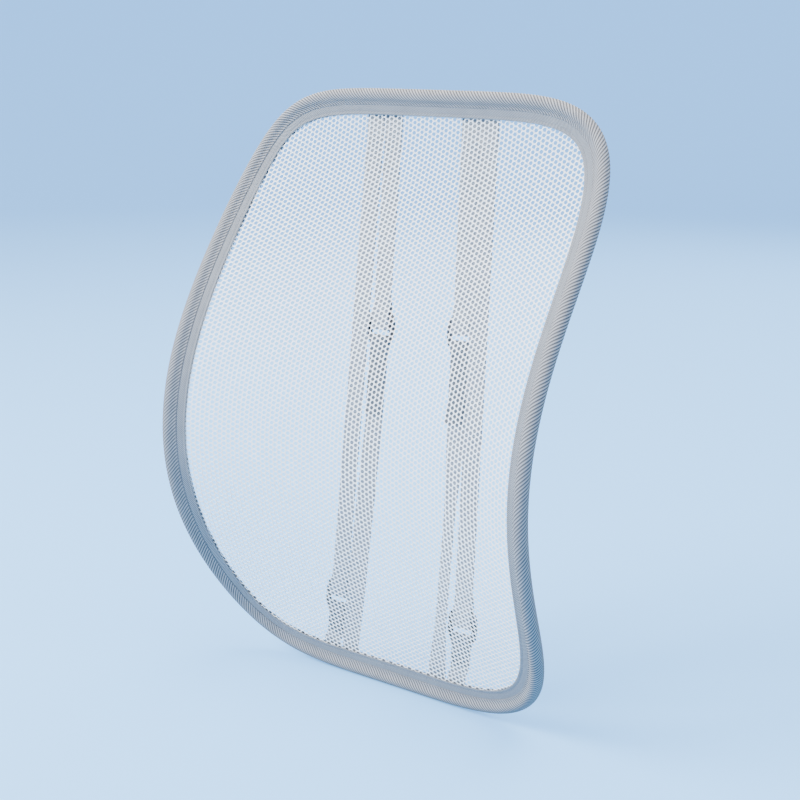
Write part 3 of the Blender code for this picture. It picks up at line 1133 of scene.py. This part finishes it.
@dataclass
class StrapLine:
    """One strap: its line from rail to rail, and its slider's place and axes on that line."""

    hand: Hand
    strand: Strand
    x_top: float
    x_bottom: float
    slider_level: float
    tail: float
    casing_radius: float = 4.6 * MM
    hem_edge: float = 13.5 * MM
    web_lift: float = 2.7 * MM
    top_offset: float = -4 * MM
    slider_set_back: float = 4.2 * MM

    def __post_init__(self) -> None:
        """Work out the strap's line and axes."""
        self.sewn_top = self.sewn(self.hand.value * self.x_top + self.top_offset, True)
        self.sewn_bottom = self.sewn(self.hand.value * self.x_bottom, False)
        line = self.sewn_top[-1] - self.sewn_bottom[-1]
        self.along = line.normalized()
        across = Vector((1, 0, 0))
        self.across = (across - across.dot(self.along) * self.along).normalized()
        self.back = self.along.cross(self.across)
        share = (self.slider_level + self.casing_radius - self.sewn_bottom[-1].z) / line.z
        self.middle = self.sewn_bottom[-1] + share * line + self.slider_set_back * self.back

    @property
    def ending(self) -> str:
        """The end of this strap's names."""
        return f"{self.hand.name.lower()}_{self.strand.value}"

    @property
    def slider_body(self) -> str:
        """The body that this strap's slider is."""
        return f"slider_{self.ending}"

    def sewn(self, x: float, top: bool) -> list[Vector]:
        """Where a web lies on the back of the hem."""
        away = -1 if top else 1
        insets = (self.casing_radius + 2 * GAP, self.hem_edge / 2 + 3 * MM, self.hem_edge + 1.5 * MM)
        rail = SADDLE.rail_level(x, top)
        levels = [rail + away * inset for inset in insets]
        return [Vector(SADDLE.place(np.array(x), np.array(level), -self.web_lift)) for level in levels]

    def at(self, along: float, back: float, across: float = 0.0) -> Vector:
        """A point beside the slider: along the strap, behind its plane and across it."""
        return self.middle + along * self.along + back * self.back + across * self.across


@dataclass
class Webbing:
    """Flat ribbed webbing that follows a path, with thin selvedges."""

    width: float = 15 * MM
    thickness: float = 1.15 * MM
    step: float = 0.42 * MM
    across_points: int = 7

    def section(self) -> np.ndarray:
        """The webbing's section: across it, and through it."""
        half, thick = self.width / 2, self.thickness / 2
        across = np.linspace(-half + 0.7 * MM, half - 0.7 * MM, self.across_points)
        lower = np.stack([across, np.full(self.across_points, -thick)], axis=1)
        tip = np.array([[half - 0.15 * MM, -thick * 0.62], [half, 0.0], [half - 0.15 * MM, thick * 0.62]])
        return np.concatenate([lower, tip, -lower, -tip])

    def sweep(self, name: str, path: list[Vector], across: Vector, twist: np.ndarray | None = None,
              sway: np.ndarray | None = None) -> bpy.types.Object:
        """Run the webbing along a path.

        Args:
            name: the piece's name.
            path: the corners that the path rounds.
            across: the direction of the webbing's width.
            twist: pairs of share along the path and turn in degrees.
            sway: pairs of share along the path and sideways shift.

        Returns:
            The webbing, with its cloth map and its ribs raised.
        """
        points, lengths = rounded_path(path, self.step)
        count = len(points)
        side = np.tile(np.array(across), (count, 1))
        tangent = np.gradient(points, axis=0)
        tangent /= np.linalg.norm(tangent, axis=1, keepdims=True)
        normal = np.cross(side, tangent)
        normal /= np.linalg.norm(normal, axis=1, keepdims=True)
        if sway is not None:
            points = points + np.interp(lengths / lengths[-1], sway[:, 0], sway[:, 1])[:, None] * side
        if twist is not None:
            turn = np.radians(np.interp(lengths / lengths[-1], twist[:, 0], twist[:, 1]))[:, None]
            cosine, sine = np.cos(turn), np.sin(turn)
            side, normal = cosine * side + sine * normal, cosine * normal - sine * side
        section = self.section()
        grid = (
            points[:, None, :]
            + section[None, :, 0, None] * side[:, None, :]
            + section[None, :, 1, None] * normal[:, None, :]
        )
        along = np.append(lengths, lengths[-1])
        # Share 1 on the lower face and 0 on the upper face: the upper face gets no relief, and its colour is
        # darkened as painted shade.
        ribbed_unshaded_face = (section[:, 1] < 0).astype(float)
        web = grid_mesh(f"{name}_plain", grid, along, section_lengths(section), ribbed_unshaded_face, False)
        return ribbed(web, name, WEBBING_WEAVE, WEBBING)


def rounded_path(path: list[Vector], step: float) -> tuple[np.ndarray, np.ndarray]:
    """Round a path's corners and divide it evenly.

    Args:
        path: the corners.
        step: the distance between points.

    Returns:
        The points, and the length at each.
    """
    points = np.array([list(corner) for corner in path])
    for _ in range(3):
        before, after = points[:-1], points[1:]
        gap = np.linalg.norm(after - before, axis=1, keepdims=True)
        cut = np.minimum(0.25, 4 * MM / gap)
        step_in = cut * (after - before)
        inner = np.stack([before + step_in, after - step_in], axis=1).reshape(-1, 3)
        points = np.concatenate([points[:1], inner[1:-1], points[-1:]])
    lengths = running_length(points)
    even = np.linspace(0, lengths[-1], int(lengths[-1] / step) + 1)
    return np.stack([np.interp(even, lengths, points[:, axis]) for axis in range(3)], axis=1), even


@dataclass
class StrapSet:
    """One strap with its upper web, its lower web and its slider."""

    line: StrapLine
    width: float = 24 * MM
    height: float = 24 * MM
    thickness: float = 2.2 * MM
    upper_bar: float = 3.9 * MM
    lower_bar: float = 5.5 * MM
    centre_bar: float = 3 * MM
    centre_raise: float = 1.7 * MM
    slot_room: float = 0.5 * MM
    sewn_rise: float = 21 * MM
    past_plate: float = 0.6 * MM
    layers_meet: float = 3.5 * MM
    bar_straight: float = 2 * MM
    squareness: float = 3.2
    outline_points: int = 72
    edge_softness: float = 0.55 * MM
    slot_corner: float = 0.7 * MM
    box_half_width: float = 6.2 * MM
    bar_half_width: float = 6.6 * MM
    bar_drops: tuple[float, float] = (1.8 * MM, 4.2 * MM)
    thread_lift: float = 0.62 * MM
    upper_blend_end: float = 24 * MM
    lower_blend_end: float = -16 * MM
    webbing: Webbing = field(default_factory=Webbing)

    def __post_init__(self) -> None:
        """Work out where the layers of webbing lie round the slider's bars."""
        web = 1.2 * MM
        self.layer = web / 2 + GAP / 2
        self.round_bar = self.thickness / 2 + GAP + web / 2
        self.lower_bar_top = -self.height / 2 + self.lower_bar
        self.upper_bar_bottom = self.height / 2 - self.upper_bar
        self.centre_bottom = self.centre_raise - self.centre_bar / 2

    def around(self, edge: float, way: int) -> list[Vector]:
        """The path round a bar, front to back; way is 1 where the bar is above its turn."""
        steps = ((0.6, -1.9), (1.2, -0.8), (1.2, 0.8), (0.6, 1.9))
        return [self.line.at(edge - way * rise * MM, lie * MM) for rise, lie in steps]

    def upper_path(self) -> list[Vector]:
        """From the upper rail to the slider, round its centre bar and up to the sewn end."""
        at, half = self.line.at, self.height / 2
        over, meet = half + self.past_plate, half + self.layers_meet
        straight = self.centre_bottom + self.bar_straight
        path = [*self.line.sewn_top, at(self.sewn_rise, -self.layer), at(meet, -self.layer)]
        path += [at(over, -self.round_bar), at(straight, -self.round_bar)]
        path += self.around(self.centre_bottom, 1)
        path += [at(straight, self.round_bar), at(over, self.round_bar)]
        return path + [at(meet, self.layer), at(self.sewn_rise, self.layer)]

    def lower_path(self) -> list[Vector]:
        """From the free tail, over the slider's lower bar and down to the lower rail."""
        at, half = self.line.at, self.height / 2
        under, meet = -half - self.past_plate, -half - self.layers_meet
        straight = self.lower_bar_top - self.bar_straight
        path = [at(-self.line.tail, -self.layer), at(meet, -self.layer)]
        path += [at(under, -self.round_bar), at(straight, -self.round_bar)]
        path += self.around(self.lower_bar_top, -1)
        path += [at(straight, self.round_bar), at(under, self.round_bar)]
        path += [at(meet, self.layer), at(-self.line.tail, self.layer)]
        return path + list(reversed(self.line.sewn_bottom))

    def webs(self) -> list[bpy.types.Object]:
        """Make both webs and their sewing, running between the frame and the slider.

        Returns:
            The pieces.
        """
        line = self.line
        upper = self.webbing.sweep(f"upper_webbing_{line.ending}", self.upper_path(), line.across)
        name = f"lower_webbing_{line.ending}"
        lower = self.webbing.sweep(name, self.lower_path(), line.across, *self.loose_shape())
        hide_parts(f"upper_web_{line.ending}")
        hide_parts(f"lower_web_{line.ending}")
        upper_sewing = self.sew(f"upper_sewing_{line.ending}", line.sewn_top, True)
        lower_sewing = self.sew(f"lower_sewing_{line.ending}", line.sewn_bottom, False)
        spans = (
            (upper, line.sewn_top[-1], self.upper_blend_end),
            (lower, line.sewn_bottom[-1], self.lower_blend_end),
        )
        for piece, end, gap in spans:
            line.slider_body
            line.at(gap, 0)
            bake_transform(piece)
            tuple(end)
        loop_sewing = self.sew_loop(f"loop_sewing_{line.ending}")
        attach(loop_sewing, line.slider_body)
        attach(upper_sewing, FRAME_BODY)
        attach(lower_sewing, FRAME_BODY)
        return [upper, lower, upper_sewing, lower_sewing, loop_sewing]

    def loose_shape(self) -> tuple[np.ndarray | None, np.ndarray | None]:
        """How the slack lower web of an inner strap turns and sways."""
        if self.line.strand is Strand.OUTER:
            return None, None
        strength = -24.0 if self.line.hand is Hand.RIGHT else 8.0
        twist = np.array([[0, 0], [0.42, 0], [0.6, strength], [0.86, strength], [0.97, 0], [1, 0]])
        sway = np.array([[0, -2.4 * MM * (self.line.hand is Hand.RIGHT)], [0.06, 0], [1, 0]])
        return twist, sway

    def sew(self, name: str, sewn: list[Vector], top: bool) -> bpy.types.Object:
        """Sew a web's end down on the hem with a box and its cross."""
        half, across, at = self.box_half_width, self.line.across, sewn[1]
        normal = SADDLE.normal(np.array(at.x), np.array(at.z - SADDLE.ground))
        out = self.thread_lift * Vector(-normal)
        first, last = sewn[0].lerp(at, 0.25) + out, at.lerp(sewn[2], 0.35) + out
        bend = at + out
        corners = [first - half * across, first + half * across, last + half * across, last - half * across]
        left, right = bend - half * across, bend + half * across
        box = [corners[0], corners[1], right, corners[2], corners[3], left, corners[0]]
        lines = [box, [corners[0], bend, corners[2]], [corners[1], bend, corners[3]]]
        return Sewing().row(name, [np.array([list(point) for point in run]) for run in lines])

    def sew_loop(self, name: str) -> bpy.types.Object:
        """Close the upper web's loop above the slider with two bars of stitches."""
        lines = []
        for rise in (self.sewn_rise - drop for drop in self.bar_drops):
            for lie in (-self.layer - 0.6 * MM, self.layer + 0.6 * MM):
                lines.append([self.line.at(rise, lie, share * self.bar_half_width) for share in (-1, 1)])
        runs = [np.array([list(point) for point in run]) for run in lines]
        return Sewing(1.3 * MM, 1.2 * MM, 0.19 * MM).row(name, runs)

    def slider(self) -> bpy.types.Object:
        """Mould the slider: an oblong plate with softened edges and two slots.

        Returns:
            The slider, riding on its body.
        """
        line, soft = self.line, self.edge_softness
        curve = bpy.data.curves.new("slider_outline", "CURVE")
        curve.dimensions = "2D"
        curve.fill_mode = "BOTH"
        curve.extrude = self.thickness / 2 - soft
        curve.bevel_depth = soft
        curve.bevel_resolution = 3
        curve.offset = -soft
        slot, centre_top = self.webbing.width / 2 + self.slot_room, self.centre_raise + self.centre_bar / 2
        loops = [
            oblong(self.width / 2, self.height / 2, self.squareness, self.outline_points),
            rounded_slot(slot, centre_top, self.upper_bar_bottom, self.slot_corner),
            rounded_slot(slot, self.lower_bar_top, self.centre_bottom, self.slot_corner),
        ]
        for loop in loops:
            spline = curve.splines.new("POLY")
            spline.points.add(len(loop) - 1)
            for point, (x, y) in zip(spline.points, loop):
                point.co = (x, y, 0, 1)
            spline.use_cyclic_u = True
        source = bpy.data.objects.new("slider_outline", curve)
        bpy.context.scene.collection.objects.link(source)
        bpy.context.view_layer.update()
        mesh = bpy.data.meshes.new_from_object(source.evaluated_get(bpy.context.evaluated_depsgraph_get()))
        bpy.data.objects.remove(source, do_unlink=True)
        axes = Matrix((line.across, line.along, -line.back)).transposed().to_4x4()
        mesh.transform(Matrix.Translation(line.middle) @ axes)
        weld(mesh)
        piece = linked(f"slider_moulding_{line.ending}", mesh)
        mesh.materials.clear()
        mesh.materials.append(SLIDER)
        mesh.set_sharp_from_angle(angle=SHARP_ANGLE)
        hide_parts(f"tri_glide_{line.ending}")
        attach(piece, line.slider_body)
        return piece


def weld(mesh: bpy.types.Mesh) -> None:
    """Join doubled points, turn the faces outwards and shade smooth."""
    work = bmesh.new()
    work.from_mesh(mesh)
    bmesh.ops.remove_doubles(work, verts=work.verts, dist=MOULD_WELD)
    work.to_mesh(mesh)
    work.free()
    tidy_normals(mesh)


def oblong(half_width: float, half_height: float, squareness: float, count: int) -> list[tuple[float, float]]:
    """Points of a rounded oblong."""
    turns = TURN * (np.arange(count) + 0.5) / count
    x = squared(np.cos(turns), squareness) * half_width
    y = squared(np.sin(turns), squareness) * half_height
    return list(zip(x.tolist(), y.tolist()))


def rounded_slot(half_width: float, low: float, high: float, radius: float) -> list[tuple[float, float]]:
    """Points of a slot with rounded corners."""
    points = []
    corners = ((half_width, high), (-half_width, high), (-half_width, low), (half_width, low))
    for quarter, (x, y) in enumerate(corners):
        middle = (x - math.copysign(radius, x), y - (radius if y == high else -radius))
        for step in range(5):
            turn = math.radians(90 * quarter + 22.5 * step)
            points.append((middle[0] + radius * math.cos(turn), middle[1] + radius * math.sin(turn)))
    return points


TAPE = TAPE_FINISH.material()
WEBBING = WEBBING_FINISH.material()
SLIDER = SLIDER_FINISH.material()


# ----------------------------------------------------------------------------- assembly and stage


@dataclass
class BackPanel:
    """The wire loop with its sleeve and casing, the net and the hem tapes."""

    net: NetPanel = field(default_factory=NetPanel)
    casing: RimCasing = field(default_factory=RimCasing)
    flat: tuple[float, float] = (0.29, 0.40)
    cut_share: float = 0.85

    def build(self) -> list[bpy.types.Object]:
        """Make the panel's pieces and put them on the frame's body.

        Returns:
            The pieces.
        """
        for node, finish in (("frame_wire", WIRE_FINISH), ("wire_sleeve", SLEEVE_FINISH)):
            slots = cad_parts[node].data.materials
            slots.clear()
            slots.append(finish.material())
        net, casing = self.net.build(), self.casing.build()
        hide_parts("mesh_panel")
        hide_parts("rim_casing")
        tapes, sewing = [], []
        for side in Side:
            tape = HemTape(side)
            made = tape.build()
            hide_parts(f"hem_tape_{side.name.lower()}")
            tapes.append(made)
            sewing.append(Sewing().row(f"hem_sewing_{side.name.lower()}", [tape.seam_line()], True))
            sewing.append(Sewing().row(f"lip_sewing_{side.name.lower()}", [self.casing.lip_line(side)], True))
        pieces = [net, casing, *tapes, *sewing]
        for piece in pieces:
            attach(piece, FRAME_BODY)
        with_pieces = pieces[1:]
        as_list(with_pieces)
        return pieces


LAMPS = (
    ("key", (-1.3, -1.7, 1.9), 1.5, 320.0, (1.0, 0.95, 0.88)),
    ("top", (0.3, 0.2, 2.4), 2.2, 150.0, (1.0, 0.96, 0.90)),
    ("fill", (1.9, -1.2, 0.9), 1.6, 18.0, (1.0, 0.94, 0.86)),
    ("rear", (-0.4, 2.1, 1.4), 1.6, 45.0, (1.0, 0.96, 0.90)),
)
AIR = (1.0, 0.96, 0.90, 1.0)
AIR_STRENGTH = 1.0
AIMED_AT = Vector((0, 0, 0.2))


@dataclass
class Studio:
    """The floor with its sweep, the soft lights and the camera."""

    target: tuple[float, float, float] = (-0.0297, 0.0328, 0.1808)
    azimuth: float = 40.54
    elevation: float = 13.46
    distance: float = 1.153
    lens: float = 74.4
    shift: tuple[float, float] = (0.0244, 0.029)
    floor_radius: float = 3.2
    sweep_radius: float = 1.6
    wall_height: float = 5.0

    def floor(self) -> bpy.types.Object:
        """The round floor and the wall it sweeps up into."""
        rings = [(0.0, 0.0), (0.6, 0.0), (1.6, 0.0), (self.floor_radius, 0.0)]
        for step in range(1, 13):
            turn = math.radians(90 * step / 12)
            rise = self.sweep_radius * (1 - math.cos(turn))
            rings.append((self.floor_radius + self.sweep_radius * math.sin(turn), rise))
        rings.append((self.floor_radius + self.sweep_radius, self.wall_height))
        count = 96
        vertices = [(0.0, 0.0, 0.0)]
        for radius, rise in rings[1:]:
            for index in range(count):
                turn = TURN * index / count
                vertices.append((radius * math.cos(turn), radius * math.sin(turn), rise))
        faces = [(0, 1 + index, 1 + (index + 1) % count) for index in range(count)]
        for ring in range(len(rings) - 2):
            start = 1 + ring * count
            for index in range(count):
                beside = (index + 1) % count
                faces.append((start + index, start + count + index, start + count + beside, start + beside))
        mesh = bpy.data.meshes.new("floor")
        mesh.from_pydata(vertices, [], faces)
        mesh.materials.append(STAGE_FINISH.material())
        mesh.shade_smooth()
        made = linked("floor", mesh)
        return made

    def camera(self) -> None:
        """Set the camera at the viewing angle."""
        turn, rise = math.radians(self.azimuth), math.radians(self.elevation)
        away = Vector((math.sin(turn) * math.cos(rise), -math.cos(turn) * math.cos(rise), math.sin(rise)))
        data = bpy.data.cameras.new("camera")
        data.lens = self.lens
        data.sensor_width = 36.0
        data.shift_x, data.shift_y = self.shift
        data.clip_start, data.clip_end = 0.01, 50.0
        made = bpy.data.objects.new("camera", data)
        made.location = Vector(self.target) + self.distance * away
        made.rotation_euler = away.to_track_quat("Z", "Y").to_euler()
        bpy.context.scene.collection.objects.link(made)
        bpy.context.scene.camera = made

    def lamp(self, name: str, place: tuple[float, float, float], size: float, power: float,
             colour: Colour) -> None:
        """Hang a square soft light that faces the support.

        Args:
            name: the light's name.
            place: where it hangs.
            size: the length of its sides.
            power: its power in watts.
            colour: its colour.
        """
        data = bpy.data.lights.new(name, "AREA")
        data.size, data.energy, data.color = size, power, colour
        made = bpy.data.objects.new(name, data)
        made.location = place
        made.rotation_euler = (Vector(place) - AIMED_AT).to_track_quat("Z", "Y").to_euler()
        bpy.context.scene.collection.objects.link(made)

    def build(self) -> None:
        """Make the floor, the lights, the sky and the camera."""
        self.floor()
        for lamp in LAMPS:
            self.lamp(*lamp)
        world = bpy.data.worlds.new("studio_air")
        world.use_nodes = True
        looks = {"Color": AIR, "Strength": AIR_STRENGTH}
        TreeBuilder(world.node_tree).fill(world.node_tree.nodes["Background"], looks)
        bpy.context.scene.world = world
        self.camera()


def straps() -> list[StrapSet]:
    """The four straps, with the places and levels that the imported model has."""
    made = []
    for hand, inner_level, outer_level in ((Hand.LEFT, 242 * MM, 48.5 * MM), (Hand.RIGHT, 246 * MM, 51 * MM)):
        inner = StrapLine(hand, Strand.INNER, 32.7 * MM, 39.3 * MM, inner_level, 62 * MM)
        outer = StrapLine(hand, Strand.OUTER, 48.3 * MM, 56.3 * MM, outer_level, 27 * MM)
        made += [StrapSet(inner), StrapSet(outer)]
    return made


def main() -> None:
    """Build every piece in order, dress it and set the stage."""
    logging.basicConfig(level=logging.INFO, format="%(name)s: %(message)s")
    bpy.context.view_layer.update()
    pieces = BackPanel().build()
    for strap in straps():
        pieces += strap.webs()
        pieces.append(strap.slider())
    for piece in pieces:
        log.info("%s: %d faces", piece.name, len(piece.data.polygons))
    Studio().build()


if __name__ == "__main__":
    main()
